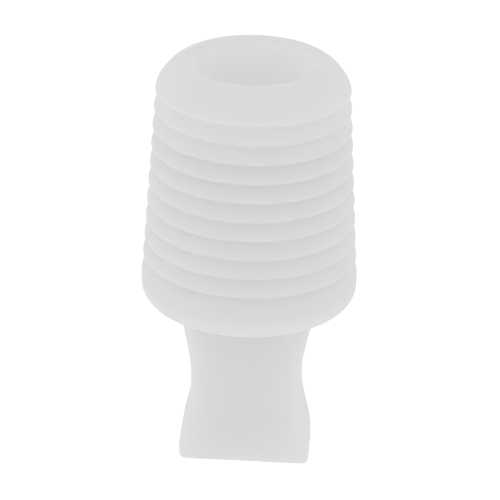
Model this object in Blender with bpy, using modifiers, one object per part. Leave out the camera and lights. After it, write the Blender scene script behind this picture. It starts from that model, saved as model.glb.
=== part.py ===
"""Push-in pneumatic muffler, modelled as the separate pieces that it comes apart into.

A ribbed, tapered plug shell is pushed into an exhaust port, nose first. Air enters the open nose, passes a
perforated screen, a porous thimble wrapped in felt, a baffle and a soft pad, and leaves through the slots of the
end cap that snaps into the shell's large end. The cap's flat, waisted grip is there to push, twist and pull by.

Units are metres, +Z points up, and the origin is the middle of the grip's flat end, with the nose at the top.
"""

import math

import bmesh
import bpy

# Outside of the plug shell
GRIP_LENGTH = 0.01645  # from the grip's free end to the shell's large end
PLUG_LENGTH = 0.0237  # the shell, from its large end to its nose
PLUG_DIAMETER = 0.0202  # over the plain collar at the large end
TAPER = 1 / 8  # diameter lost for each unit of length towards the nose
COLLAR_ROUNDING = 0.0018  # radius of the large end's outer edge
COLLAR_HEIGHT = 0.0025  # least height of the plain band below the ribs
NOSE_HEIGHT = 0.0027  # lead-in above the ribs
NOSE_FULLNESS = 1.55  # 1 is a straight chamfer, and 2 is round
RIB_PITCH = 0.0254 / 14
RIB_DEPTH = 0.00045
RIB_RISE = 0.00005  # how far the ribs' crests stand past the line of the collar
RIB_SWELL = 0.75  # share of its pitch that a rib widens over, downwards, which makes it a barb

# Inside of the plug shell
NOSE_WALL = 0.0032  # from the inlet's wall to the outside, where the nose meets the ribs
LIP_ROUNDING = 0.0005
LIP_LAND = 0.0002  # width of the flat ring on top of the nose
INLET_DEPTH = 0.0066
INLET_DRAFT = 0.0001
SHELL_WALL = 0.0014  # thinnest wall round the cavity, under a groove
MOUTH_CHAMFER = 0.0002

# Fits
FIT = 0.0001  # gap that every piece keeps to its neighbour
SNAP_DEPTH = 0.00025  # how far the end cap's bead reaches into the shell
SNAP_HEIGHT = 0.0008

# End cap and its grip
PLATE_THICKNESS = 0.0018
PLATE_RECESS = 0.0003
GRIP_INSET = 0.00103  # from the plate's edge to the grip's sides, where the grip is widest
GRIP_THICKNESS = 0.0058
GRIP_FOOT = 0.0013  # straight stretch of the sides at the free end
WAIST_DEPTH = 0.00103  # how far the grip's sides curve in
WAIST_Z = 0.0084  # middle of the waist
WAIST_STRAIGHT = 0.0013  # straight stretch of the sides at the waist
GRIP_ROUNDING = 0.0006
SLOT_WIDTH = 0.0011
SLOT_PITCH = 0.0019
SLOT_MARGIN = 0.0006  # material left between a slot and the grip or the plate's edge

# Silencing stack, from the inlet down to the end cap
SCREEN_THICKNESS = 0.00035
SCREEN_HOLE = 0.0011
SCREEN_PITCH = 0.0018
RING_HEIGHT = 0.0014
RING_WALL = 0.0016
RING_CHAMFER = 0.0003
SEAL_THICKNESS = 0.0005
FLANGE_THICKNESS = 0.0012
SLEEVE_WALL = 0.0016
ELEMENT_WALL = 0.0015
ELEMENT_END_ROUNDING = 0.0008
BAFFLE_THICKNESS = 0.0008
BAFFLE_HOLE = 0.0012
BAFFLE_HOLE_PITCH = 0.0022  # least distance between the baffle's holes, and between their rings
PAD_THICKNESS = 0.0020

# How finely round shapes are faceted
TURN_STEPS = 40
HOLE_STEPS = 8
MERGE = 1e-6

# Places that follow from the sizes above
TOP_Z = GRIP_LENGTH + PLUG_LENGTH
COLLAR_EDGE_Z = GRIP_LENGTH + COLLAR_ROUNDING
NOSE_Z = TOP_Z - NOSE_HEIGHT
GROOVE_COUNT = int((PLUG_LENGTH - NOSE_HEIGHT - COLLAR_HEIGHT) / RIB_PITCH)
SHOULDER_Z = TOP_Z - INLET_DEPTH


def crest_radius(z):
    """Radius over the ribs, which grows evenly from the nose to the collar."""
    return PLUG_DIAMETER / 2 + RIB_RISE - (z - COLLAR_EDGE_Z) * TAPER / 2


INLET_RADIUS = crest_radius(NOSE_Z) - NOSE_WALL
CAVITY_RADIUS = crest_radius(SHOULDER_Z) - RIB_DEPTH - SHELL_WALL
DISC_RADIUS = CAVITY_RADIUS - FIT
ELEMENT_RADIUS = DISC_RADIUS - SLEEVE_WALL - FIT
PLATE_Z = GRIP_LENGTH + PLATE_RECESS
PAD_Z = PLATE_Z + PLATE_THICKNESS + FIT
BAFFLE_Z = PAD_Z + PAD_THICKNESS + FIT
SLEEVE_Z = BAFFLE_Z + BAFFLE_THICKNESS + FIT
SCREEN_Z = SHOULDER_Z - FIT - SCREEN_THICKNESS
RING_Z = SCREEN_Z - FIT - RING_HEIGHT
SEAL_Z = RING_Z - FIT - SEAL_THICKNESS
FLANGE_Z = SEAL_Z - FIT - FLANGE_THICKNESS


def clear_scene():
    for obj in list(bpy.data.objects):
        bpy.data.objects.remove(obj)


def new_collection(name):
    collection = bpy.data.collections.new(name)
    bpy.context.scene.collection.children.link(collection)
    return collection


def make_material(name, colour, roughness, metallic=0.0):
    material = bpy.data.materials.new(name)
    material.use_nodes = True
    shader = material.node_tree.nodes["Principled BSDF"]
    shader.inputs["Base Color"].default_value = (*colour, 1.0)
    shader.inputs["Roughness"].default_value = roughness
    shader.inputs["Metallic"].default_value = metallic
    return material


def add_object(name, bm, collection, material=None):
    """A new object that holds the bmesh, smooth where its faces meet at a small angle."""
    mesh = bpy.data.meshes.new(name)
    bm.to_mesh(mesh)
    bm.free()
    obj = bpy.data.objects.new(name, mesh)
    collection.objects.link(obj)
    if material:
        mesh.materials.append(material)
    mesh.shade_smooth()
    mesh.set_sharp_from_angle(angle=math.radians(35))
    return obj


def arc(centre_r, centre_z, size_r, size_z, start, end, steps):
    """Points of an elliptic arc in the (radius, height) plane, with its angles in degrees."""
    points = []
    for i in range(steps + 1):
        angle = math.radians(start + (end - start) * i / steps)
        points.append((centre_r + size_r * math.cos(angle), centre_z + size_z * math.sin(angle)))
    return points


def turned(name, outline, collection, material, closed=True):
    """A turned piece. Its outline runs down the outer side, and is a loop unless it meets the axis."""
    bm = bmesh.new()
    corners = [bm.verts.new((radius, 0.0, z)) for radius, z in outline]
    for first, second in zip(corners, corners[1:]):
        bm.edges.new((first, second))
    if closed:
        bm.edges.new((corners[-1], corners[0]))
    obj = add_object(name, bm, collection, material)
    screw = obj.modifiers.new("turn", "SCREW")
    screw.steps = TURN_STEPS
    screw.render_steps = TURN_STEPS
    screw.use_merge_vertices = True
    screw.merge_threshold = MERGE
    screw.use_smooth_shade = True
    return obj


def disc_outline(radius, low, high):
    """Outline of a plain disc that meets the axis at both ends."""
    return [(0.0, high), (radius, high), (radius, low), (0.0, low)]


def cut(obj, cutter):
    boolean = obj.modifiers.new("cut_" + cutter.name, "BOOLEAN")
    boolean.operation = "DIFFERENCE"
    boolean.solver = "EXACT"
    boolean.object = cutter
    cutter.hide_render = True
    cutter.display_type = "WIRE"


def nose_points(steps=7):
    """The nose's outline from its flat ring to the first rib crest: a quarter of a superellipse."""
    land = INLET_RADIUS + LIP_ROUNDING + LIP_LAND
    width = crest_radius(NOSE_Z) - land
    points = []
    for i in range(steps + 1):
        angle = math.pi / 2 * (1 - i / steps)
        across = math.cos(angle) ** (2 / NOSE_FULLNESS) if i else 0.0
        up = math.sin(angle) ** (2 / NOSE_FULLNESS)
        points.append((land + width * across, NOSE_Z + NOSE_HEIGHT * up))
    return points


def rib_points():
    """Below each crest a quick return to a groove, then a slow swell to the next crest."""
    points = []
    for rib in range(GROOVE_COUNT):
        crest_z = NOSE_Z - rib * RIB_PITCH
        groove_z = crest_z - (1 - RIB_SWELL) * RIB_PITCH
        middle_z = groove_z - RIB_SWELL / 2 * RIB_PITCH
        next_z = crest_z - RIB_PITCH
        points.append((crest_radius(groove_z) - RIB_DEPTH, groove_z))
        points.append((crest_radius(middle_z) - RIB_DEPTH * (1 - math.sin(math.pi / 4)), middle_z))
        points.append((crest_radius(next_z), next_z))
    return points


def shell_outside():
    """The shell's outer side, from the lip's flat ring over the nose and the ribs to the large end."""
    centre = PLUG_DIAMETER / 2 - COLLAR_ROUNDING
    lip = [(INLET_RADIUS + LIP_ROUNDING, TOP_Z)]
    edge = arc(centre, COLLAR_EDGE_Z, COLLAR_ROUNDING, COLLAR_ROUNDING, 0, -90, 5)
    return lip + nose_points() + rib_points() + edge


def shell_inside():
    """The shell's inner side, from its mouth past the snap groove and the shoulder up to the lip."""
    snap_z = PLATE_Z + PLATE_THICKNESS / 2
    half = SNAP_HEIGHT / 2 + FIT
    return [
        (CAVITY_RADIUS + MOUTH_CHAMFER, GRIP_LENGTH),
        (CAVITY_RADIUS, GRIP_LENGTH + MOUTH_CHAMFER),
        (CAVITY_RADIUS, snap_z - half),
        (CAVITY_RADIUS + SNAP_DEPTH, snap_z - half / 2),
        (CAVITY_RADIUS + SNAP_DEPTH, snap_z + half / 2),
        (CAVITY_RADIUS, snap_z + half),
        (CAVITY_RADIUS, SHOULDER_Z),
        (INLET_RADIUS - INLET_DRAFT, SHOULDER_Z),
    ] + arc(INLET_RADIUS + LIP_ROUNDING, TOP_Z - LIP_ROUNDING, LIP_ROUNDING, LIP_ROUNDING, 180, 120, 2)


def make_plug_shell(parts, material):
    return turned("plug_shell", shell_outside() + shell_inside(), parts, material)


def grip_half_width(z):
    """Half the grip's width: a short straight waist about halfway up, curving out to both ends."""
    low, high = WAIST_Z - WAIST_STRAIGHT / 2, WAIST_Z + WAIST_STRAIGHT / 2
    below = (low - z) / (low - GRIP_FOOT)
    above = (z - high) / (PLATE_Z - high)
    share = min(max(below, above, 0.0), 1.0)
    waist = WAIST_DEPTH * (1 + math.cos(math.pi * share)) / 2
    return DISC_RADIUS - GRIP_INSET - waist


def make_grip(helpers, plate_overlap):
    """The flat grip as a mesh: a waisted outline, extruded, with its edges rounded."""
    steps = 16
    top = PLATE_Z + plate_overlap
    heights = [PLATE_Z * i / steps for i in range(steps + 1)] + [top]
    right = [(grip_half_width(z), z) for z in heights]
    outline = right + [(-x, z) for x, z in reversed(right)]

    curve = bpy.data.curves.new("grip_outline", "CURVE")
    curve.dimensions = "2D"
    curve.fill_mode = "BOTH"
    curve.extrude = GRIP_THICKNESS / 2
    spline = curve.splines.new("POLY")
    spline.points.add(len(outline) - 1)
    for point, (x, z) in zip(spline.points, outline):
        point.co = (x, z, 0.0, 1.0)
    spline.use_cyclic_u = True
    guide = bpy.data.objects.new("grip_outline", curve)
    guide.rotation_euler = (math.pi / 2, 0.0, 0.0)
    helpers.objects.link(guide)
    bpy.context.view_layer.update()

    graph = bpy.context.evaluated_depsgraph_get()
    mesh = bpy.data.meshes.new_from_object(guide.evaluated_get(graph))
    bm = bmesh.new()
    bm.from_mesh(mesh)
    bm.transform(guide.matrix_world)
    bmesh.ops.remove_doubles(bm, verts=bm.verts, dist=MERGE)
    bmesh.ops.dissolve_limit(bm, angle_limit=math.radians(1), verts=bm.verts, edges=bm.edges)
    bmesh.ops.recalc_face_normals(bm, faces=bm.faces)
    bpy.data.objects.remove(guide)
    grip = add_object("grip", bm, helpers)
    bevel = grip.modifiers.new("round", "BEVEL")
    bevel.width = GRIP_ROUNDING
    bevel.segments = 3
    bevel.limit_method = "ANGLE"
    bevel.angle_limit = math.radians(40)
    grip.hide_render = True
    grip.display_type = "WIRE"
    return grip


def slot_places():
    """Middle and length of as many slots as fit on one side of the grip, as (x, y, length)."""
    outer = DISC_RADIUS - SLOT_MARGIN
    start = GRIP_THICKNESS / 2 + SLOT_MARGIN
    widest = math.sqrt(outer**2 - (start + SLOT_WIDTH) ** 2) - SLOT_WIDTH / 2
    reach = int(widest / SLOT_PITCH)
    places = []
    for slot in range(-reach, reach + 1):
        x = slot * SLOT_PITCH
        end = math.sqrt(outer**2 - (abs(x) + SLOT_WIDTH / 2) ** 2)
        places.append((x, (start + end) / 2, end - start))
    return places


def make_vent_slots(helpers):
    """Cutter for the grille: slots on both sides of the grip, each as long as the plate allows."""
    bm = bmesh.new()
    for x, y, length in slot_places():
        for side in (-1, 1):
            made = bmesh.ops.create_cube(bm, size=1.0)["verts"]
            bmesh.ops.scale(bm, vec=(SLOT_WIDTH, length, 3 * PLATE_THICKNESS), verts=made)
            bmesh.ops.translate(bm, vec=(x, side * y, PLATE_Z + PLATE_THICKNESS / 2), verts=made)
    return add_object("vent_slots", bm, helpers)


def make_end_cap(parts, helpers, material):
    """The vented plate with its snap bead and the grip in one moulding."""
    low, high = PLATE_Z, PLATE_Z + PLATE_THICKNESS
    middle, half = (low + high) / 2, SNAP_HEIGHT / 2
    outline = [
        (0.0, high),
        (DISC_RADIUS, high),
        (DISC_RADIUS, middle + half),
        (DISC_RADIUS + SNAP_DEPTH, middle + half / 2),
        (DISC_RADIUS + SNAP_DEPTH, middle - half / 2),
        (DISC_RADIUS, middle - half),
        (DISC_RADIUS, low),
        (0.0, low),
    ]
    cap = turned("end_cap", outline, parts, material, closed=False)
    union = cap.modifiers.new("join_grip", "BOOLEAN")
    union.operation = "UNION"
    union.solver = "EXACT"
    union.object = make_grip(helpers, plate_overlap=PLATE_THICKNESS / 2)
    cut(cap, make_vent_slots(helpers))
    return cap


def holes_cutter(name, centres, radius, low, high, helpers):
    """Cutter for round holes that run from below one height to above another."""
    bm = bmesh.new()
    reach = (high - low) / 2
    for x, y in centres:
        made = bmesh.ops.create_cone(
            bm,
            cap_ends=True,
            segments=HOLE_STEPS,
            radius1=radius,
            radius2=radius,
            depth=high - low + 2 * reach,
        )["verts"]
        bmesh.ops.translate(bm, vec=(x, y, (low + high) / 2), verts=made)
    return add_object(name, bm, helpers)


def hexagonal_centres(pitch, limit):
    """Centres of a hexagonal pattern whose points lie no further out than the limit."""
    row_step = pitch * math.sin(math.radians(60))
    reach = int(limit / row_step) + 1
    centres = []
    for row in range(-reach, reach + 1):
        shift = pitch / 2 if row % 2 else 0.0
        for column in range(-reach - 1, reach + 1):
            x, y = column * pitch + shift, row * row_step
            if math.hypot(x, y) <= limit:
                centres.append((x, y))
    return centres


def ring_centres(pitch, limit):
    """One centre on the axis, and rings of centres round it that keep at least the pitch."""
    centres = [(0.0, 0.0)]
    for ring in range(1, int(limit / pitch) + 1):
        count = int(2 * math.pi * ring)
        for i in range(count):
            angle = 2 * math.pi * i / count
            centres.append((ring * pitch * math.cos(angle), ring * pitch * math.sin(angle)))
    return centres


def make_inlet_screen(parts, helpers, material):
    """Perforated steel disc that keeps debris out of the porous element."""
    low, high = SCREEN_Z, SCREEN_Z + SCREEN_THICKNESS
    screen = turned("inlet_screen", disc_outline(DISC_RADIUS, low, high), parts, material, closed=False)
    centres = hexagonal_centres(SCREEN_PITCH, INLET_RADIUS - SCREEN_HOLE)
    cut(screen, holes_cutter("screen_holes", centres, SCREEN_HOLE / 2, low, high, helpers))
    return screen


def make_clamp_ring(parts, material):
    """Spacer between the screen and the element's flange, with its inner edges broken."""
    inner = DISC_RADIUS - RING_WALL
    top = RING_Z + RING_HEIGHT
    outline = [
        (inner + RING_CHAMFER, top),
        (DISC_RADIUS, top),
        (DISC_RADIUS, RING_Z),
        (inner + RING_CHAMFER, RING_Z),
        (inner, RING_Z + RING_CHAMFER),
        (inner, top - RING_CHAMFER),
    ]
    return turned("clamp_ring", outline, parts, material)


def make_element_seal(parts, material):
    """Thin rubber ring that keeps air from slipping round the element's flange."""
    inner = DISC_RADIUS - RING_WALL
    outline = [
        (inner, SEAL_Z + SEAL_THICKNESS),
        (DISC_RADIUS, SEAL_Z + SEAL_THICKNESS),
        (DISC_RADIUS, SEAL_Z),
        (inner, SEAL_Z),
    ]
    return turned("element_seal", outline, parts, material)


def make_porous_element(parts, material):
    """Flanged thimble of sintered beads: open towards the inlet, closed at the baffle."""
    inside = ELEMENT_RADIUS - ELEMENT_WALL
    flange_top = FLANGE_Z + FLANGE_THICKNESS
    outline = [(inside, flange_top), (DISC_RADIUS, flange_top), (DISC_RADIUS, FLANGE_Z), (ELEMENT_RADIUS, FLANGE_Z)]
    rounding = ELEMENT_END_ROUNDING
    outline += arc(ELEMENT_RADIUS - rounding, SLEEVE_Z + rounding, rounding, rounding, 0, -90, 3)
    outline += [(0.0, SLEEVE_Z), (0.0, SLEEVE_Z + ELEMENT_WALL)]
    outline += arc(inside - rounding, SLEEVE_Z + ELEMENT_WALL + rounding, rounding, rounding, -90, 0, 3)
    return turned("porous_element", outline, parts, material)


def make_felt_sleeve(parts, material):
    """Felt wrap that fills the space between the thimble and the shell."""
    inner = ELEMENT_RADIUS + FIT
    top = FLANGE_Z - FIT
    outline = [(inner, top), (DISC_RADIUS, top), (DISC_RADIUS, SLEEVE_Z), (inner, SLEEVE_Z)]
    return turned("felt_sleeve", outline, parts, material)


def make_baffle_disc(parts, helpers, material):
    """Perforated disc that the thimble and its felt stand on."""
    low, high = BAFFLE_Z, BAFFLE_Z + BAFFLE_THICKNESS
    baffle = turned("baffle_disc", disc_outline(DISC_RADIUS, low, high), parts, material, closed=False)
    centres = ring_centres(BAFFLE_HOLE_PITCH, DISC_RADIUS - BAFFLE_HOLE)
    cut(baffle, holes_cutter("baffle_holes", centres, BAFFLE_HOLE / 2, low, high, helpers))
    return baffle


def make_outlet_pad(parts, material):
    """Soft disc over the cap's slots, which stops the last of the hiss and keeps dust out."""
    return turned("outlet_pad", disc_outline(DISC_RADIUS, PAD_Z, PAD_Z + PAD_THICKNESS), parts, material, closed=False)


def main():
    clear_scene()
    parts = new_collection("pneumatic_muffler")
    helpers = new_collection("cutters")
    natural_plastic = make_material("natural_polyethylene", (0.92, 0.92, 0.91), 0.45)
    ring_plastic = make_material("white_acetal", (0.86, 0.86, 0.84), 0.35)
    sintered = make_material("sintered_polyethylene", (0.84, 0.84, 0.82), 0.9)
    felt = make_material("polyester_felt", (0.82, 0.82, 0.80), 1.0)
    foam = make_material("open_cell_foam", (0.30, 0.31, 0.32), 1.0)
    rubber = make_material("nitrile_rubber", (0.04, 0.04, 0.04), 0.75)
    steel = make_material("stainless_steel", (0.62, 0.61, 0.59), 0.32, metallic=1.0)

    make_plug_shell(parts, natural_plastic)
    make_end_cap(parts, helpers, natural_plastic)
    make_inlet_screen(parts, helpers, steel)
    make_clamp_ring(parts, ring_plastic)
    make_element_seal(parts, rubber)
    make_porous_element(parts, sintered)
    make_felt_sleeve(parts, felt)
    make_baffle_disc(parts, helpers, ring_plastic)
    make_outlet_pad(parts, foam)


main()
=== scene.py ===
"""The looks of a push-in pneumatic muffler: a ribbed plug of natural plastic, the stack of screen, rings,
porous thimble, felt, baffle and foam inside it, and the vented cap with a waisted grip that closes it."""

import math

import bmesh
import bpy
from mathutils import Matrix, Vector, noise


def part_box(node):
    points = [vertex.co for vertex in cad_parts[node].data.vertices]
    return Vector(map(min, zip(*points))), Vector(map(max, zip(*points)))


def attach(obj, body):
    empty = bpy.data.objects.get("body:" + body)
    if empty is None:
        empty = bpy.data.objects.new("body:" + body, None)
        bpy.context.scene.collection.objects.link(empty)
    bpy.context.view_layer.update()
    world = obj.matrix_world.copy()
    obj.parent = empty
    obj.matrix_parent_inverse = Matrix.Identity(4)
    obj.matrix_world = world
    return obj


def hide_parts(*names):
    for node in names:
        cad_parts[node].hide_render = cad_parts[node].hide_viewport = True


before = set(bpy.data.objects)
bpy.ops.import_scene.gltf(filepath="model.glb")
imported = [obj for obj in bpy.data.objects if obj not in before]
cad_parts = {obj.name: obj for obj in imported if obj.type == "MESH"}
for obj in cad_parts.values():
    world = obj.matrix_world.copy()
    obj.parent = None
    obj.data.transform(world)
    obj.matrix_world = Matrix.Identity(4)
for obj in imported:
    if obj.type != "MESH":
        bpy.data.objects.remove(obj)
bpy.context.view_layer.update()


# ----------------------------------------------------------------------------------------------------
# The studio: the muffler stands on the end of its grip on a white table, inside a tent of soft white
# light. A long lens looks down at it, turned a little to its right side.

CAMERA_TURN = math.radians(3.0)
CAMERA_HEIGHT = math.radians(25.1)
CAMERA_ROLL = math.radians(1.35)
CAMERA_DISTANCE = 0.2612
LOOK_AT = Vector((0.0, 0.0, 0.02118))
SENSOR_WIDTH = 36.0  # mm, as the lens is
LENS = 201.2
VIEW_SHIFT = 0.0006
NEAREST_SEEN = 0.01

camera = bpy.data.objects.new("camera", bpy.data.cameras.new("camera"))
bpy.context.scene.collection.objects.link(camera)
bpy.context.scene.camera = camera
camera.data.sensor_width = SENSOR_WIDTH
camera.data.lens = LENS
camera.data.shift_x = VIEW_SHIFT
camera.data.clip_start = NEAREST_SEEN
flat = math.cos(CAMERA_HEIGHT)
backwards = Vector((math.sin(CAMERA_TURN) * flat, -math.cos(CAMERA_TURN) * flat, math.sin(CAMERA_HEIGHT)))
camera.location = LOOK_AT + backwards * CAMERA_DISTANCE
camera.rotation_euler = backwards.to_track_quat("Z", "Y").to_euler()
camera.rotation_euler.rotate_axis("Z", CAMERA_ROLL)


class Link:
    """One output of a shader node. Arithmetic on it adds Math nodes, and node() adds any other kind."""

    def __init__(self, tree, socket=None):
        self.tree = tree
        self.socket = socket

    def node(self, kind, settings=None, values=None, output=0):
        """A new node of this kind, with its settings, and the values or links of its sockets."""
        made = self.tree.nodes.new(kind)
        for name, value in (settings or {}).items():
            setattr(made, name, value)
        for name, value in (values or {}).items():
            if isinstance(value, Link):
                self.tree.links.new(value.socket, made.inputs[name])
            else:
                made.inputs[name].default_value = value
        return Link(self.tree, made.outputs[output])

    def maths(self, operation, first, second=0.0):
        return self.node("ShaderNodeMath", {"operation": operation}, {0: first, 1: second})

    def __add__(self, other):
        return self.maths("ADD", self, other)

    def __sub__(self, other):
        return self.maths("SUBTRACT", self, other)

    def __mul__(self, other):
        return self.maths("MULTIPLY", self, other)

    def __truediv__(self, other):
        return self.maths("DIVIDE", self, other)

    def __pow__(self, other):
        return self.maths("POWER", self, other)

    def __rsub__(self, other):
        return self.maths("SUBTRACT", other, self)

    __radd__ = __add__
    __rmul__ = __mul__

    def __abs__(self):
        return self.maths("ABSOLUTE", self)

    def clamped(self):
        """This number, kept between 0 and 1."""
        return self.maths("MINIMUM", self.maths("MAXIMUM", self, 0.0), 1.0)

    def parts(self):
        """The three numbers of a vector."""
        return [self.node("ShaderNodeSeparateXYZ", values={0: self}, output=axis) for axis in range(3)]

    def stretched(self, x, y, z):
        """This place, with each of its axes multiplied by its own factor."""
        return self.node("ShaderNodeVectorMath", {"operation": "MULTIPLY"}, {0: self, 1: (x, y, z)})

    def noise(self, scale, detail):
        """Noise at this place, about this many lumps to the metre."""
        return self.node("ShaderNodeTexNoise", values={"Vector": self, "Scale": scale, "Detail": detail})

    def tinted(self, red=1.0, green=1.0, blue=1.0):
        """A colour as light as this number, with these shares of red, green and blue."""
        shares = {0: red, 1: green, 2: blue}
        values = {part: self if share == 1 else self * share for part, share in shares.items()}
        return self.node("ShaderNodeCombineColor", values=values)

    def into(self, shader, name):
        self.tree.links.new(self.socket, shader.inputs[name])

    def relief(self, shader, strength, distance):
        """Uses this number as the height of the bumps on the shader's surface."""
        values = {"Height": self, "Strength": strength, "Distance": distance}
        self.node("ShaderNodeBump", values=values).into(shader, "Normal")


FRONT_LIGHT = 0.60
LEFT_LIGHT = 0.03
SIDE_LIGHT = 0.17
TOP_LIGHT = 0.10

world = bpy.data.worlds.new("light_tent")
bpy.context.scene.world = world
world.use_nodes = True
background = world.node_tree.nodes["Background"]
side, depth, height = Link(world.node_tree).node("ShaderNodeTexCoord", output="Generated").parts()
from_left = (0.15 - side).clamped() * LEFT_LIGHT
from_sides = (abs(side) + depth.clamped()) * (1 - height.clamped()) * SIDE_LIGHT
(FRONT_LIGHT + from_left + from_sides + height.clamped() * TOP_LIGHT).into(background, "Strength")
background.inputs["Color"].default_value = (1.0, 1.0, 1.0, 1.0)
bpy.context.scene.view_settings.view_transform = "Standard"


def new_finish(name, colour, roughness, **constants):
    """A material with these values on its shader, that shader, and the place on the piece as a Link."""
    material = bpy.data.materials.new(name)
    material.use_nodes = True
    shader = material.node_tree.nodes["Principled BSDF"]
    shader.inputs["Base Color"].default_value = (*colour, 1.0)
    shader.inputs["Roughness"].default_value = roughness
    for socket, value in constants.items():
        shader.inputs[socket.replace("_", " ")].default_value = value
    return material, shader, Link(material.node_tree).node("ShaderNodeTexCoord", output="Object")


SHARP_FROM = math.radians(40.0)


def add_piece(name, bm, material):
    """An object that holds the bmesh, facing out, and smooth but where its faces meet at a sharp angle."""
    bmesh.ops.recalc_face_normals(bm, faces=bm.faces)
    mesh = bpy.data.meshes.new(name)
    bm.to_mesh(mesh)
    bm.free()
    mesh.materials.append(material)
    mesh.shade_smooth()
    mesh.set_sharp_from_angle(angle=SHARP_FROM)
    piece = bpy.data.objects.new(name, mesh)
    bpy.context.scene.collection.objects.link(piece)
    return piece


TABLE_LIGHT = 0.43  # how brightly the table lights the muffler
TABLE_SEEN = 1.1  # how bright it is to the camera
TABLE_HALF = 3.0
TABLE_DROP = 0.00005  # its gap to the grip's flat end

table_white, shader, place = new_finish(
    "white_table", (0.5, 0.5, 0.5), 0.9, Emission_Color=(1.0, 1.0, 1.0, 1.0), Emission_Strength=TABLE_LIGHT
)
seen_directly = place.node("ShaderNodeLightPath", output="Is Camera Ray")
from_below = place.node("ShaderNodeNewGeometry", output="Backfacing")
dim_white = Link(place.tree, shader.outputs[0])
plain_white = place.node("ShaderNodeEmission", values={"Strength": TABLE_SEEN})
clear = place.node("ShaderNodeBsdfTransparent")
surface = place.node("ShaderNodeMixShader", values={0: seen_directly, 1: dim_white, 2: plain_white})
surface = place.node("ShaderNodeMixShader", values={0: from_below, 1: surface, 2: clear})
surface.into(place.tree.nodes["Material Output"], "Surface")
table_mesh = bmesh.new()
bmesh.ops.create_grid(table_mesh, x_segments=1, y_segments=1, size=TABLE_HALF)
table = add_piece("table", table_mesh, table_white)
table.location.z = -TABLE_DROP


# ----------------------------------------------------------------------------------------------------
# Plug shell: the hollow ribbed plug, injection moulded in natural polyethylene. Ten ring grooves leave
# ribs that swell slowly downwards and return quickly, so they slip in and hold. The nose is a soft
# lead-in round the mouth.

AROUND = 160  # corners round a turned piece
FIT = 0.0001  # gap between neighbours
TAPER = 1 / 16  # radius lost for each unit of height
COLLAR_ROUNDING = 0.0018
NOSE_HEIGHT = 0.0027
NOSE_FULLNESS = 1.55
NOSE_WALL = 0.0032
LIP_ROUNDING = 0.0005
LIP_LAND = 0.0002
RIB_PITCH = 0.0254 / 14
RIB_DEPTH = 0.00045
RIB_RISE = 0.00005
RIB_SWELL = 0.75
GROOVES = 10
WITNESS_HEIGHT = 0.0014  # of the faint ring where two parts of the mould met, above the nose's foot
WITNESS_DEPTH = 0.00007
WITNESS_WIDTH = 0.00018
SEAM_HALF = 0.00007
INLET_DRAFT = 0.0001
CAVITY_CHAMFER = 0.0002
SNAP_HEIGHT = 0.0012
SNAP_DEPTH = 0.00025
SNAP_HALF = 0.0004
MOUTH_GLOW = 0.078
GLOW_GROWTH = 16  # for each metre of depth below the lip
GLOW_EDGE = 0.0006

shell_low, shell_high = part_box("plug_shell")
base_z, top_z = shell_low.z, shell_high.z
nose_z = top_z - NOSE_HEIGHT
collar_radius = shell_high.x
collar_edge_z = base_z + COLLAR_ROUNDING
disc_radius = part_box("inlet_screen")[1].x
shoulder_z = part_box("inlet_screen")[1].z + FIT
cavity_radius = disc_radius + FIT
snap_z = base_z + SNAP_HEIGHT


def crest_radius(z):
    """Radius over the ribs at this height, which may be a number or a Link."""
    return collar_radius + RIB_RISE - (z - collar_edge_z) * TAPER


inlet_radius = crest_radius(nose_z) - NOSE_WALL


def arc(centre_r, centre_z, radius, start, end, steps):
    """Points of a circular arc in the (radius, height) plane, with its angles in degrees."""
    angles = [math.radians(start + (end - start) * i / steps) for i in range(steps + 1)]
    return [(centre_r + radius * math.cos(a), centre_z + radius * math.sin(a)) for a in angles]


def rounded(corner_r, corner_z, rounding, start, end, steps):
    """Points of the quarter arc that rounds off this corner."""
    middle = math.radians((start + end) / 2)
    centre_r = corner_r - math.copysign(rounding, math.cos(middle))
    centre_z = corner_z - math.copysign(rounding, math.sin(middle))
    return arc(centre_r, centre_z, rounding, start, end, steps)


def rib_depth(share):
    """Depth of the rib's outline, this share of the way from one crest down to the next."""
    back = 1 - RIB_SWELL
    if share < back:
        return RIB_DEPTH * (1 - math.cos(math.pi * share / back)) / 2
    return RIB_DEPTH * (1 - math.sin(math.pi / 2 * (share - back) / RIB_SWELL))


def nose_outline(steps=40):
    """From the lip's flat ring to the first crest, with the mould's witness ring."""
    land = inlet_radius + LIP_ROUNDING + LIP_LAND
    width = crest_radius(nose_z) - land
    points = []
    for i in range(steps + 1):
        angle = math.pi / 2 * (1 - i / steps)
        across = math.cos(angle) ** (2 / NOSE_FULLNESS) if i else 0.0
        up = NOSE_HEIGHT * math.sin(angle) ** (2 / NOSE_FULLNESS)
        witness = WITNESS_DEPTH * math.exp(-(((up - WITNESS_HEIGHT) / WITNESS_WIDTH) ** 2))
        points.append((land + width * across - witness, nose_z + up))
    return points


def rib_outline(steps=18):
    """From the first crest down to the collar."""
    heights = [(i, nose_z - RIB_PITCH * i / steps) for i in range(1, GROOVES * steps + 1)]
    return [(crest_radius(z) - rib_depth(i % steps / steps), z) for i, z in heights]


def snap_bulge(radius, reach, steps=8):
    """Points up a bulge on this radius: the end cap's bead, or the groove that it snaps into."""
    shares = [2 * i / steps - 1 for i in range(steps + 1)]
    return [(radius + SNAP_DEPTH * (1 + math.cos(math.pi * s)) / 2, snap_z + reach * s) for s in shares]


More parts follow.
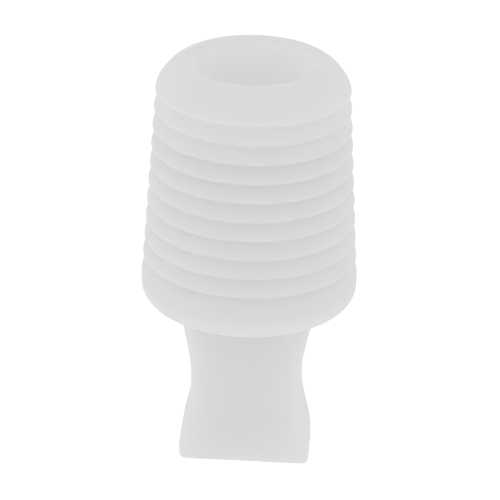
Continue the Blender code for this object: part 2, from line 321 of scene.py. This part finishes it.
def turned(name, outline, material, moved=None):
    """A turned piece. Its outline is a loop that may run along the axis, and moved() may shift a corner."""
    bm = bmesh.new()
    rings = []
    for radius, z in outline:
        around = 1 if radius == 0 else AROUND
        turns = [2 * math.pi * i / AROUND for i in range(around)]
        ring = [Vector((radius * math.cos(turn), radius * math.sin(turn), z)) for turn in turns]
        corners = [bm.verts.new(moved(point) if moved else point) for point in ring]
        rings.append(corners * (AROUND // around))
    for upper, lower in zip(rings, rings[1:] + rings[:1]):
        for i in range(AROUND):
            j = (i + 1) % AROUND
            corners = dict.fromkeys((upper[i], lower[i], lower[j], upper[j]))
            if len(corners) > 2:
                bm.faces.new(corners)
    return add_piece(name, bm, material)


def from_axis(x, y):
    """Distance from the part's axis, as a Link."""
    return (x * x + y * y) ** 0.5


def natural_plastic(name, seam_from, seam_to, core_radius):
    """Natural polyethylene, moulded: white, waxy and cloudy, with a spark-eroded skin and scuffed edges.
    Painted light lightens the ribbed band towards its groove floors, over the shade there, and the crests are
    a little darker. A seam runs up the XZ plane between two heights, outside the mould's core."""
    material, shader, place = new_finish(
        name,
        (0.92, 0.92, 0.917),
        0.45,
        IOR=1.5,
        Subsurface_Weight=1.0,
        Subsurface_Radius=(1.0, 1.0, 1.0),
        Subsurface_Scale=0.0018,
    )
    x, y, z = place.parts()
    radius = from_axis(x, y)
    ribbed = ((z - collar_edge_z) * 2000).clamped() * ((nose_z - z) * 2000).clamped()
    groove = ((crest_radius(z) - radius) / RIB_DEPTH).clamped()
    cloud = place.noise(260.0, 3.0)
    scuffs = place.noise(1400.0, 4.0)
    skin = place.noise(5200.0, 2.0)
    pointed = place.node("ShaderNodeNewGeometry", output="Pointiness")
    scuffed = (((pointed - 0.52) * 10).clamped() * (scuffs - 0.4) * 3).clamped()
    # Painted light: the ribbed band is lighter towards the groove floors, over the shade that falls there,
    # and a little darker on the crests.
    grey = 0.915 + cloud * 0.02 + ribbed * (groove * 0.095 - 0.025) - scuffed * 0.03
    grey.tinted(blue=0.997).into(shader, "Base Color")
    (0.36 + cloud * 0.08 + skin * 0.1 + scuffed * 0.2).into(shader, "Roughness")

    seam_here = ((z - seam_from) * 20000).clamped() * ((seam_to - z) * 20000).clamped()
    seam_here = seam_here * ((radius - core_radius) * 5000).clamped()
    seam = (1 - abs(y) / SEAM_HALF).clamped() * seam_here
    (skin + seam * 2 + scuffed).relief(shader, 0.25, 0.00002)
    return material, shader, place


shell_outline = [(inlet_radius + LIP_ROUNDING, top_z)]
shell_outline += nose_outline() + rib_outline()
shell_outline += rounded(collar_radius, base_z, COLLAR_ROUNDING, 0, -90, 16)
shell_outline += [(cavity_radius + CAVITY_CHAMFER, base_z), (cavity_radius, base_z + CAVITY_CHAMFER)]
shell_outline += snap_bulge(cavity_radius, SNAP_HALF + FIT)
shell_outline += [(cavity_radius, shoulder_z), (inlet_radius - INLET_DRAFT, shoulder_z)]
shell_outline += rounded(inlet_radius, top_z, LIP_ROUNDING, 180, 90, 8)[:-1]

shell_plastic, shader, place = natural_plastic(
    "natural_plastic_shell",
    seam_from=base_z + 0.0004,
    seam_to=nose_z + WITNESS_HEIGHT,
    core_radius=cavity_radius + CAVITY_CHAMFER,
)
# The mouth is as light as the outside, so it gets a faint glow of its own that grows with depth.
x, y, z = place.parts()
below_lip = top_z - z
in_mouth = ((inlet_radius + GLOW_EDGE - from_axis(x, y)) * 2000).clamped() * (below_lip * 1700).clamped()
glow = in_mouth * (MOUTH_GLOW + below_lip * GLOW_GROWTH)
glow.tinted().into(shader, "Emission Color")
shader.inputs["Emission Strength"].default_value = 1.0

plug_shell = turned("plug_shell_moulding", shell_outline, shell_plastic)
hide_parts("plug_shell")
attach(plug_shell, "root")


# ----------------------------------------------------------------------------------------------------
# Inlet screen: a disc of stainless sheet with punched holes in a honeycomb pattern, which lies against
# the shell's inner shoulder and keeps debris out. Its edges and its holes' are broken on both sides.

SCREEN_HOLE = 0.0011
SCREEN_PITCH = 0.0018
SCREEN_EDGE = 0.00005
SCREEN_WORN_RIM = 0.0004
HOLE_CORNERS = 24


def circle(centre_x, centre_y, radius, z, steps):
    """Points round a circle at this height."""
    turns = [2 * math.pi * i / steps for i in range(steps)]
    return [Vector((centre_x + radius * math.cos(t), centre_y + radius * math.sin(t), z)) for t in turns]


def walls(bm, rings):
    """Faces between each ring of points and the next. Gives the rings' corners."""
    rings = [[bm.verts.new(point) for point in ring] for ring in rings]
    for upper, lower in zip(rings, rings[1:]):
        for corners in zip(upper, lower, lower[1:] + lower[:1], upper[1:] + upper[:1]):
            bm.faces.new(corners)
    return rings


def filled(bm, rings):
    """A flat face inside the first ring of corners and outside the others."""
    edges = []
    for ring in rings:
        for first, second in zip(ring, ring[1:] + ring[:1]):
            edges.append(bm.edges.get((first, second)) or bm.edges.new((first, second)))
    bmesh.ops.triangle_fill(bm, use_beauty=True, edges=edges)


def broken_edges(low_z, high_z, edge):
    """How far a side is cut back at each of its heights, from the top down."""
    return [(edge, high_z), (0.0, high_z - edge), (0.0, low_z + edge), (edge, low_z)]


def perforated_disc(name, node, hole, edge, centres, material):
    """A disc that takes this node's place, with round holes and broken edges."""
    low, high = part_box(node)
    levels = broken_edges(low.z, high.z, edge)
    bm = bmesh.new()
    sides = [walls(bm, [circle(0, 0, high.x - back, z, AROUND) for back, z in levels])]
    for x, y in centres:
        sides.append(walls(bm, [circle(x, y, hole / 2 + back, z, HOLE_CORNERS) for back, z in levels]))
    filled(bm, [rings[0] for rings in sides])
    filled(bm, [rings[-1] for rings in sides])
    return add_piece(name, bm, material)


def honeycomb(pitch, limit):
    """Centres in rows that are shifted by half a pitch in turn, no further out than the limit."""
    row_step = pitch * math.sin(math.radians(60))
    reach = int(limit / row_step) + 1
    centres = []
    for row in range(-reach, reach + 1):
        shift = pitch / 2 if row % 2 else 0.0
        centres += [(i * pitch + shift, row * row_step) for i in range(-reach - 1, reach + 1)]
    return [(x, y) for x, y in centres if math.hypot(x, y) <= limit]


screen_steel, shader, place = new_finish("stainless_sheet", (0.62, 0.61, 0.59), 0.32, Metallic=1.0)
rolling = place.stretched(300.0, 9000.0, 300.0).noise(1.0, 4.0)
smudges = place.noise(500.0, 3.0)
x, y, z = place.parts()
worn = ((from_axis(x, y) - disc_radius + SCREEN_WORN_RIM) * 2500).clamped() * smudges
grey = 0.50 + rolling * 0.14 + smudges * 0.08 + worn * 0.12
grey.tinted(green=0.985, blue=0.955).into(shader, "Base Color")
(0.24 + rolling * 0.16 + smudges * 0.12 - worn * 0.08).into(shader, "Roughness")
rolling.relief(shader, 0.2, 0.00001)

screen_holes = honeycomb(SCREEN_PITCH, inlet_radius - SCREEN_HOLE)
inlet_screen = perforated_disc(
    "inlet_screen_sheet", "inlet_screen", SCREEN_HOLE, SCREEN_EDGE, screen_holes, screen_steel
)
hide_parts("inlet_screen")
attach(inlet_screen, "root")


# ----------------------------------------------------------------------------------------------------
# Clamp ring: a spacer of white acetal, turned from bar, that holds the screen against the shoulder and
# presses on the seal below. The cutter leaves fine rings on its faces.

RING_WALL = 0.0016
RING_CHAMFER = 0.0003
OUTER_BREAK = 0.0001


def acetal(name):
    """White acetal: dense, slightly shiny, with fine rings from the cutter."""
    material, shader, place = new_finish(
        name, (0.86, 0.86, 0.84), 0.35, Subsurface_Weight=0.4, Subsurface_Scale=0.0006, IOR=1.48
    )
    x, y, z = place.parts()
    rings = place.maths("SINE", from_axis(x, y) * 42000 + z * 30000) * 0.5 + 0.5
    cloud = place.noise(700.0, 3.0)
    grey = 0.83 + cloud * 0.03 + rings * 0.01
    grey.tinted(blue=0.98).into(shader, "Base Color")
    (0.28 + cloud * 0.12 + rings * 0.06).into(shader, "Roughness")
    (rings + cloud * 0.5).relief(shader, 0.3, 0.000004)
    return material


ring_low, ring_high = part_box("clamp_ring")
ring_inner = disc_radius - RING_WALL
ring_outline = [
    (ring_inner + RING_CHAMFER, ring_high.z),
    (disc_radius - OUTER_BREAK, ring_high.z),
    (disc_radius, ring_high.z - OUTER_BREAK),
    (disc_radius, ring_low.z + OUTER_BREAK),
    (disc_radius - OUTER_BREAK, ring_low.z),
    (ring_inner + RING_CHAMFER, ring_low.z),
    (ring_inner, ring_low.z + RING_CHAMFER),
    (ring_inner, ring_high.z - RING_CHAMFER),
]
clamp_ring = turned("clamp_ring_turning", ring_outline, acetal("white_acetal_ring"))
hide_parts("clamp_ring")
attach(clamp_ring, "root")


# ----------------------------------------------------------------------------------------------------
# Element seal: a thin ring punched from nitrile sheet. It is squeezed between the clamp ring and the
# flange of the porous thimble, so its free edges bulge a little.

nitrile, shader, place = new_finish("nitrile_sheet", (0.04, 0.04, 0.04), 0.75)
mottle = place.noise(900.0, 4.0)
grain = place.noise(7000.0, 2.0)
grey = 0.028 + mottle * 0.022 + grain * 0.006
grey.tinted(blue=1.04).into(shader, "Base Color")
(0.62 + mottle * 0.2).into(shader, "Roughness")
grain.relief(shader, 0.4, 0.00001)

seal_low, seal_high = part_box("element_seal")
seal_z = (seal_low.z + seal_high.z) / 2
seal_half = (seal_high.z - seal_low.z) / 2
seal_outline = arc(disc_radius - seal_half, seal_z, seal_half, 90, -90, 8)
seal_outline += arc(ring_inner + seal_half, seal_z, seal_half, 270, 90, 8)
element_seal = turned("element_seal_ring", seal_outline, nitrile)
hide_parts("element_seal")
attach(element_seal, "root")


# ----------------------------------------------------------------------------------------------------
# Porous element: a flanged thimble of polyethylene beads that were heated in a mould until they stuck
# together. Its skin is pebbled, with painted shade in the pores between the beads, and its corners are soft.

SLEEVE_WALL = 0.0016
ELEMENT_WALL = 0.0015
ELEMENT_ROUNDING = 0.0008
ELEMENT_SIDE_STEPS = 40  # corners to the whole height, for the beads to shift
BORE_ROUNDING = 0.0003
FLANGE = 0.0012
FLANGE_ROUNDING = 0.0002
BEAD = 0.00028
BEAD_SINK = 0.1  # how deep the skin dips between the beads, as a share of one


def uneven(point, amount, size):
    """The point, pulled in towards the axis by up to this amount, with lumps of this size."""
    pull = amount * (noise.noise(point / size) + 1) / 2
    away = Vector((point.x, point.y, 0.0))
    return point - away.normalized() * pull if away.length else point


sintered, shader, place = new_finish(
    "sintered_polyethylene", (0.84, 0.84, 0.82), 0.9, Subsurface_Weight=0.5, Subsurface_Scale=0.001
)
to_bead = place.node("ShaderNodeTexVoronoi", {"feature": "F1"}, {"Vector": place, "Scale": 1 / BEAD})
bead_tint = place.noise(1.3 / BEAD, 1.0)
pores = ((to_bead - 0.45) * 3).clamped()
# Painted shade: the pores between the beads are darker.
grey = 0.84 + bead_tint * 0.06 - pores * 0.25
grey.tinted(blue=0.975).into(shader, "Base Color")
(0.75 + pores * 0.2).into(shader, "Roughness")
(1 - to_bead).relief(shader, 0.8, 0.00008)

element_low, element_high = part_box("porous_element")
floor_z = element_low.z + ELEMENT_WALL
flange_z = element_high.z - FLANGE
element_radius = disc_radius - SLEEVE_WALL - FIT
element_inner = element_radius - ELEMENT_WALL
side_step = (element_high.z - element_low.z) / ELEMENT_SIDE_STEPS
side_corners = int((flange_z - element_low.z - ELEMENT_ROUNDING) / side_step) + 1
element_outline = rounded(element_inner, element_high.z, BORE_ROUNDING, 180, 90, 4)
element_outline += rounded(disc_radius, element_high.z, FLANGE_ROUNDING, 90, 0, 4)
element_outline += rounded(disc_radius, flange_z, FLANGE_ROUNDING, 0, -90, 4)
element_outline += [(element_radius, flange_z - side_step * i) for i in range(side_corners)]
element_outline += rounded(element_radius, element_low.z, ELEMENT_ROUNDING, 0, -90, 8)
element_outline += [(element_radius * i / 10, element_low.z) for i in range(8, -1, -1)]
element_outline += [(element_inner * i / 10, floor_z) for i in range(8)]
element_outline += rounded(element_inner, floor_z, ELEMENT_ROUNDING, -90, 0, 8)
porous_element = turned(
    "porous_element_thimble", element_outline, sintered, lambda point: uneven(point, BEAD * BEAD_SINK, BEAD)
)
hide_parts("porous_element")
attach(porous_element, "root")


# ----------------------------------------------------------------------------------------------------
# Felt sleeve: a tube of needled polyester felt between the thimble and the shell, which soaks up the
# noise. Its cut ends are soft and fibrous, and its outer side is a little lumpy.

FELT_SOFTNESS = 0.00035
FELT_LUMP = 0.0006
FELT_LUMP_DEPTH = 0.00008

felt, shader, place = new_finish(
    "polyester_felt", (0.86, 0.86, 0.84), 1.0, Sheen_Weight=0.4, Sheen_Roughness=0.6
)
standing = place.stretched(9000.0, 9000.0, 1400.0).noise(1.0, 3.0)
lying = place.stretched(1700.0, 1700.0, 9500.0).noise(1.0, 3.0)
fibres = place.maths("MAXIMUM", standing, lying)
tufts = place.noise(900.0, 3.0)
grey = 0.74 + fibres * 0.12 + tufts * 0.06
grey.tinted(blue=0.975).into(shader, "Base Color")
(0.85 + tufts * 0.15).into(shader, "Roughness")
fibres.relief(shader, 0.9, 0.0001)

felt_low, felt_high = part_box("felt_sleeve")
felt_inner = element_radius + FIT
felt_middle = (felt_low.z + felt_high.z) / 2
felt_half = felt_high.z - felt_middle
felt_outline = rounded(disc_radius, felt_high.z, FELT_SOFTNESS, 90, 0, 5)
felt_outline += [(disc_radius, felt_middle + felt_half * i / 12) for i in range(10, -11, -1)]
felt_outline += rounded(disc_radius, felt_low.z, FELT_SOFTNESS, 0, -90, 5)
felt_outline += rounded(felt_inner, felt_low.z, FELT_SOFTNESS, 270, 180, 5)
felt_outline += rounded(felt_inner, felt_high.z, FELT_SOFTNESS, 180, 90, 5)


def lumpy_felt(point):
    """The point, moved if it is on the felt's outer side. The thimble keeps the inner side round."""
    outside = point.xy.length > felt_inner + FELT_SOFTNESS
    return uneven(point, FELT_LUMP_DEPTH, FELT_LUMP) if outside else point


felt_sleeve = turned("felt_sleeve_tube", felt_outline, felt, lumpy_felt)
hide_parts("felt_sleeve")
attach(felt_sleeve, "root")


# ----------------------------------------------------------------------------------------------------
# Baffle disc: white acetal, drilled in rings, that the thimble and its felt stand on. The drill's edges
# are broken on both sides.

BAFFLE_HOLE = 0.0012
BAFFLE_PITCH = 0.0022
BAFFLE_EDGE = 0.0001


def holes_in_rings(pitch, limit):
    """One centre on the axis, and rings of centres round it, about a pitch apart."""
    centres = [(0.0, 0.0)]
    for ring in range(1, int(limit / pitch) + 1):
        count = int(2 * math.pi * ring)
        turns = [2 * math.pi * i / count for i in range(count)]
        centres += [(ring * pitch * math.cos(turn), ring * pitch * math.sin(turn)) for turn in turns]
    return centres


baffle_holes = holes_in_rings(BAFFLE_PITCH, disc_radius - BAFFLE_HOLE)
baffle_disc = perforated_disc(
    "baffle_disc_drilled", "baffle_disc", BAFFLE_HOLE, BAFFLE_EDGE, baffle_holes, acetal("white_acetal_disc")
)
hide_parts("baffle_disc")
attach(baffle_disc, "root")


# ----------------------------------------------------------------------------------------------------
# Outlet pad: a punched disc of grey open-cell foam over the cap's slots. It takes the last of the hiss,
# and shows through the slots from below.

PAD_SOFTNESS = 0.0004
PAD_LUMP = 0.0008
PAD_LUMP_DEPTH = 0.0001
CELL = 0.00032

foam, shader, place = new_finish("open_cell_foam", (0.30, 0.31, 0.32), 1.0)
to_wall = place.node(
    "ShaderNodeTexVoronoi", {"feature": "DISTANCE_TO_EDGE"}, {"Vector": place, "Scale": 1 / CELL}
)
struts = (1 - to_wall * 6).clamped()
tone = place.noise(800.0, 3.0)
# Painted shade: the open cells between the struts are near black, and only the struts carry the foam's grey.
grey = 0.06 + struts * 0.26 + tone * 0.06
grey.tinted(red=0.97, blue=1.03).into(shader, "Base Color")
(0.8 + struts * 0.15).into(shader, "Roughness")
struts.relief(shader, 1.0, 0.00015)

pad_low, pad_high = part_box("outlet_pad")
pad_outline = [(disc_radius * i / 24, pad_high.z) for i in range(23)]
pad_outline += rounded(disc_radius, pad_high.z, PAD_SOFTNESS, 90, 0, 5)
pad_outline += rounded(disc_radius, pad_low.z, PAD_SOFTNESS, 0, -90, 5)
pad_outline += [(disc_radius * i / 24, pad_low.z) for i in range(22, -1, -1)]
outlet_pad = turned(
    "outlet_pad_foam", pad_outline, foam, lambda point: uneven(point, PAD_LUMP_DEPTH, PAD_LUMP)
)
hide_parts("outlet_pad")
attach(outlet_pad, "root")


# ----------------------------------------------------------------------------------------------------
# End cap: one moulding of natural polyethylene. A vented plate snaps into the shell with a bead round
# its edge, and the flat waisted grip below it is there to push, twist and pull by. The plastic entered
# the mould at the grip's free end, where a small gate mark is left.

GRIP_THICKNESS = 0.0058
GRIP_INSET = 0.00103
GRIP_FOOT = 0.0013
GRIP_ROUNDING = 0.0006
GRIP_FILLET = 0.0003
GRIP_RINGS = 60  # rings of corners down the grip's side, for its curves
WAIST_DEPTH = 0.00103
WAIST_LOW, WAIST_HIGH = 0.00775, 0.00905
PLATE_THICKNESS = 0.0018
PLATE_EDGE = 0.00015
SLOTS = 5
SLOT_WIDTH = 0.0011
SLOT_PITCH = 0.0019
SLOT_MARGIN = 0.0006
SLOT_ROUNDING = 0.0003
SLOT_EDGE = 0.0001
GATE_RADIUS = 0.0009
GATE_OUTLINE = ((1.0, 0.0), (0.85, 0.0001), (0.35, 0.00012), (0.3, 0.00004))  # share of radius, and height
GATE_CORNERS = 32
SUPPORT = 0.0001  # from a rounded corner to the extra points that keep its faces flat
LEAST_ROUNDING = 0.00005

plate_high_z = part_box("end_cap")[1].z
plate_z = plate_high_z - PLATE_THICKNESS


def grip_half_width(z):
    """Half the grip's width: straight at its free end and its waist, with smooth curves between and above."""
    below = (WAIST_LOW - z) / (WAIST_LOW - GRIP_FOOT)
    above = (z - WAIST_HIGH) / (plate_z - WAIST_HIGH)
    share = min(max(below, above, 0.0), 1.0)
    return disc_radius - GRIP_INSET - WAIST_DEPTH * (1 + math.cos(math.pi * share)) / 2


def rounded_box(x, y, half_x, half_y, rounding, z, steps=6):
    """Points round a rectangle with rounded corners, with an extra point on each side of a corner."""
    points = []
    for quarter, (side_x, side_y) in enumerate(((1, 1), (-1, 1), (-1, -1), (1, -1))):
        centre = Vector((x + side_x * (half_x - rounding), y + side_y * (half_y - rounding), z))
        turns = [math.pi / 2 * (quarter + i / steps) for i in range(steps + 1)]
        corner = [centre + Vector((math.cos(turn), math.sin(turn), 0.0)) * rounding for turn in turns]
        before = Vector((math.sin(turns[0]), -math.cos(turns[0]), 0.0)) * SUPPORT
        after = Vector((-math.sin(turns[-1]), math.cos(turns[-1]), 0.0)) * SUPPORT
        points += [corner[0] + before, *corner, corner[-1] + after]
    return points


def grip_ring(z, inset):
    """The grip's outline at this height, inset on all sides."""
    half_x = grip_half_width(z) - inset
    half_y = GRIP_THICKNESS / 2 - inset
    return rounded_box(0, 0, half_x, half_y, max(GRIP_ROUNDING - inset, LEAST_ROUNDING), z)


def slot_ring(x, y, half_length, out, z):
    """A slot's outline at this height, let out on all sides."""
    return rounded_box(x, y, SLOT_WIDTH / 2 + out, half_length + out, SLOT_ROUNDING + out, z)


grip_rings = [grip_ring(plate_z, -GRIP_FILLET - SUPPORT)]
for degrees in range(90, -1, -15):
    turn = math.radians(degrees)
    drop = GRIP_FILLET * (1 - math.sin(turn))
    grip_rings.append(grip_ring(plate_z - drop, -GRIP_FILLET * (1 - math.cos(turn))))
grip_top = plate_z - GRIP_FILLET
for i in range(1, GRIP_RINGS):
    grip_rings.append(grip_ring(grip_top + (GRIP_ROUNDING - grip_top) * i / GRIP_RINGS, 0.0))
for degrees in range(0, 91, 15):
    turn = math.radians(degrees)
    end_z = GRIP_ROUNDING * (1 - math.sin(turn))
    grip_rings.append(grip_ring(end_z, GRIP_ROUNDING * (1 - math.cos(turn))))
grip_rings.append(grip_ring(0.0, GRIP_ROUNDING + SUPPORT))

cap = bmesh.new()
grip_corners = walls(cap, grip_rings)
gate_corners = walls(cap, [circle(0, 0, GATE_RADIUS * share, z, GATE_CORNERS) for share, z in GATE_OUTLINE])
filled(cap, [grip_corners[-1], gate_corners[0]])
filled(cap, [gate_corners[-1]])

rim_levels = [(disc_radius - PLATE_EDGE, plate_high_z), (disc_radius, plate_high_z - PLATE_EDGE)]
rim_levels += reversed(snap_bulge(disc_radius, SNAP_HALF))
rim_levels += [(disc_radius, plate_z + PLATE_EDGE), (disc_radius - PLATE_EDGE, plate_z)]
plate_sides = [walls(cap, [circle(0, 0, radius, z, AROUND) for radius, z in rim_levels])]

slot_levels = broken_edges(plate_z, plate_high_z, SLOT_EDGE)
slot_start = GRIP_THICKNESS / 2 + SLOT_MARGIN
slot_reach = disc_radius - SLOT_MARGIN
for slot in range(SLOTS):
    x = (slot - (SLOTS - 1) / 2) * SLOT_PITCH
    slot_end = math.sqrt(slot_reach**2 - (abs(x) + SLOT_WIDTH / 2) ** 2)
    middle = (slot_start + slot_end) / 2
    half = (slot_end - slot_start) / 2
    for side in (-1, 1):
        plate_sides.append(walls(cap, [slot_ring(x, side * middle, half, out, z) for out, z in slot_levels]))
filled(cap, [rings[0] for rings in plate_sides])
filled(cap, [rings[-1] for rings in plate_sides] + [grip_corners[0]])

cap_plastic, _, _ = natural_plastic("natural_plastic_cap", seam_from=-0.001, seam_to=plate_z, core_radius=0.0)
end_cap = add_piece("end_cap_moulding", cap, cap_plastic)
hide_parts("end_cap")
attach(end_cap, "root")
